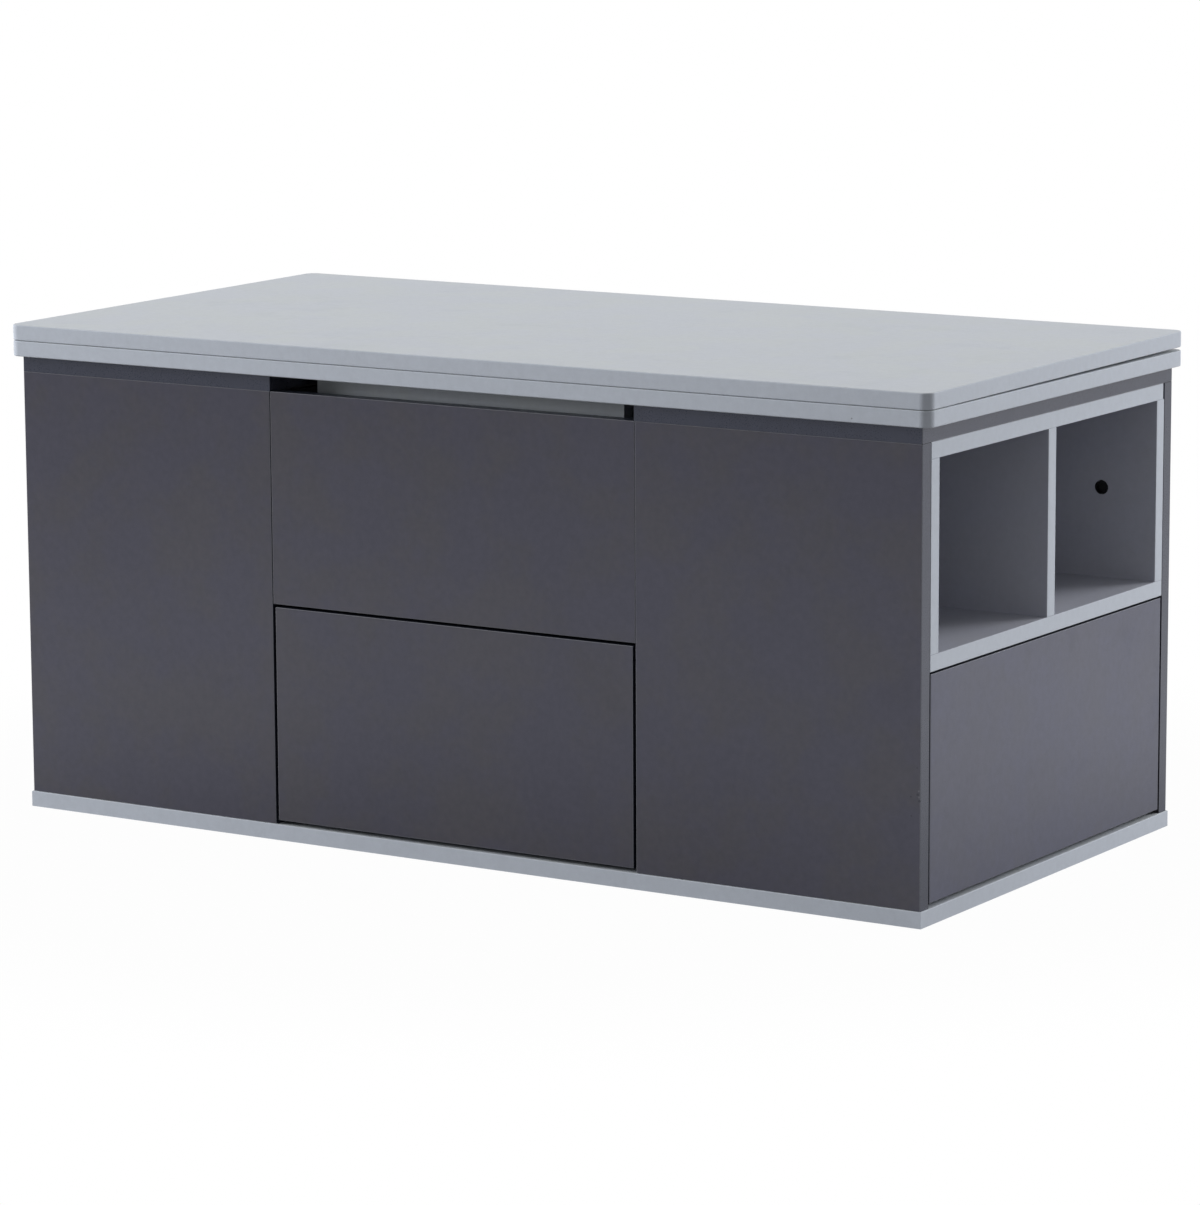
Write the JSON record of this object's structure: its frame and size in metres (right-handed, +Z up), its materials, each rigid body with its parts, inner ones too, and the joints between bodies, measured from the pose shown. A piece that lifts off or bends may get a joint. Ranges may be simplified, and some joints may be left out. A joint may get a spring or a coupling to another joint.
{
  "type": "adjustable coffee table",
  "caption": "Coffee table whose top lifts forward on parallel arms and folds open to twice its depth, over a storage well, inset drawers and open end shelves.",
  "frame": {"origin": "on the floor, under the middle of the outline seen from above", "axes": "+X along the length to the right end, +Y to the back, +Z up; the front with the finger slot faces -Y"},
  "size_m": [1, 0.4983, 0.473],
  "materials": {
    "dark_board": "matt melamine-faced board with rounded edge bands",
    "grey_board": "matt melamine-faced board with rounded edge bands",
    "drawer_board": "light grey foil",
    "thin_board": "painted hardboard",
    "black_steel": "black powder coat",
    "zinc_steel": "zinc plated"
  },
  "bodies": {
    "carcass": {"base_board": "grey_board", "front_panel_right": "dark_board", "front_panel_left": "dark_board", "front_panel_centre": "dark_board", "back_panel": "dark_board", "partition_right": "dark_board", "partition_left": "dark_board", "well_floor": "dark_board", "end_top_right": "dark_board", "end_top_left": "dark_board", "right_shelf_ceiling": "grey_board", "right_shelf_floor": "grey_board", "right_shelf_front_side": "grey_board", "right_shelf_divider": "grey_board", "right_shelf_back_side": "grey_board", "left_shelf_ceiling": "grey_board", "left_shelf_floor": "grey_board", "left_shelf_front_side": "grey_board", "left_shelf_divider": "grey_board", "left_shelf_back_side": "grey_board", "cam_locks": "zinc_steel", "shelf_screws": "black_steel", "body_slides": "zinc_steel", "lift_plate_right": "black_steel", "lift_plate_left": "black_steel", "lift_lower_pivots": "zinc_steel", "lift_spring_right": "zinc_steel", "lift_spring_left": "zinc_steel"},
    "front_arms": {"lift_front_arm_right": "black_steel", "lift_front_arm_left": "black_steel", "lift_cross_tube": "black_steel"},
    "rear_arms": {"lift_rear_arm_right": "black_steel", "lift_rear_arm_left": "black_steel"},
    "top": {"lower_leaf": "grey_board", "grip_rail": "grey_board", "lift_top_rail_right": "black_steel", "lift_top_rail_left": "black_steel", "lift_upper_pivots": "zinc_steel", "leaf_hinge_fixed_parts": "zinc_steel", "leaf_hinge_pins": "zinc_steel"},
    "flip_leaf": {"upper_leaf": "grey_board", "leaf_hinge_swing_parts": "zinc_steel"},
    "front_drawer": {"front_drawer_front": "dark_board", "front_drawer_side_left": "drawer_board", "front_drawer_side_right": "drawer_board", "front_drawer_back": "drawer_board", "front_drawer_bottom": "thin_board", "front_drawer_slides": "zinc_steel"},
    "right_drawer": {"right_drawer_front": "dark_board", "right_drawer_side_left": "drawer_board", "right_drawer_side_right": "drawer_board", "right_drawer_back": "drawer_board", "right_drawer_bottom": "thin_board", "right_drawer_slides": "zinc_steel"},
    "left_drawer": {"left_drawer_front": "dark_board", "left_drawer_side_left": "drawer_board", "left_drawer_side_right": "drawer_board", "left_drawer_back": "drawer_board", "left_drawer_bottom": "thin_board", "left_drawer_slides": "zinc_steel"}
  },
  "joints": [
    {"name": "lift", "type": "hinge", "parent": "carcass", "child": "front_arms", "pos_m": [0, -0.20888, 0.411], "axis": [1, 0, 0], "range_deg": [0, 82], "deforming": ["lift_spring_right", "lift_spring_left"]},
    {"name": "lift_top_pivot", "type": "hinge", "parent": "front_arms", "child": "top", "pos_m": [0, 0.07312, 0.411], "axis": [1, 0, 0], "range_deg": [-82, 0]},
    {"name": "lift_rear_pivot", "type": "hinge", "parent": "carcass", "child": "rear_arms", "pos_m": [0, -0.07387, 0.383], "axis": [1, 0, 0], "range_deg": [0, 82]},
    {"name": "leaf_fold", "type": "hinge", "parent": "top", "child": "flip_leaf", "pos_m": [0, 0.24638, 0.4565], "axis": [-1, 0, 0], "range_deg": [0, 180.31]},
    {"name": "front_drawer_slide", "type": "slide", "parent": "carcass", "child": "front_drawer", "axis": [0, -1, 0], "range_m": [-0.003, 0.29]},
    {"name": "right_drawer_slide", "type": "slide", "parent": "carcass", "child": "right_drawer", "axis": [1, 0, 0], "range_m": [-0.003, 0.16]},
    {"name": "left_drawer_slide", "type": "slide", "parent": "carcass", "child": "left_drawer", "axis": [-1, 0, 0], "range_m": [-0.003, 0.16]}
  ],
  "couplings": [
    {"joint": "lift_top_pivot", "follows": "lift", "ratio": -1},
    {"joint": "lift_rear_pivot", "follows": "lift", "ratio": 1}
  ]
}
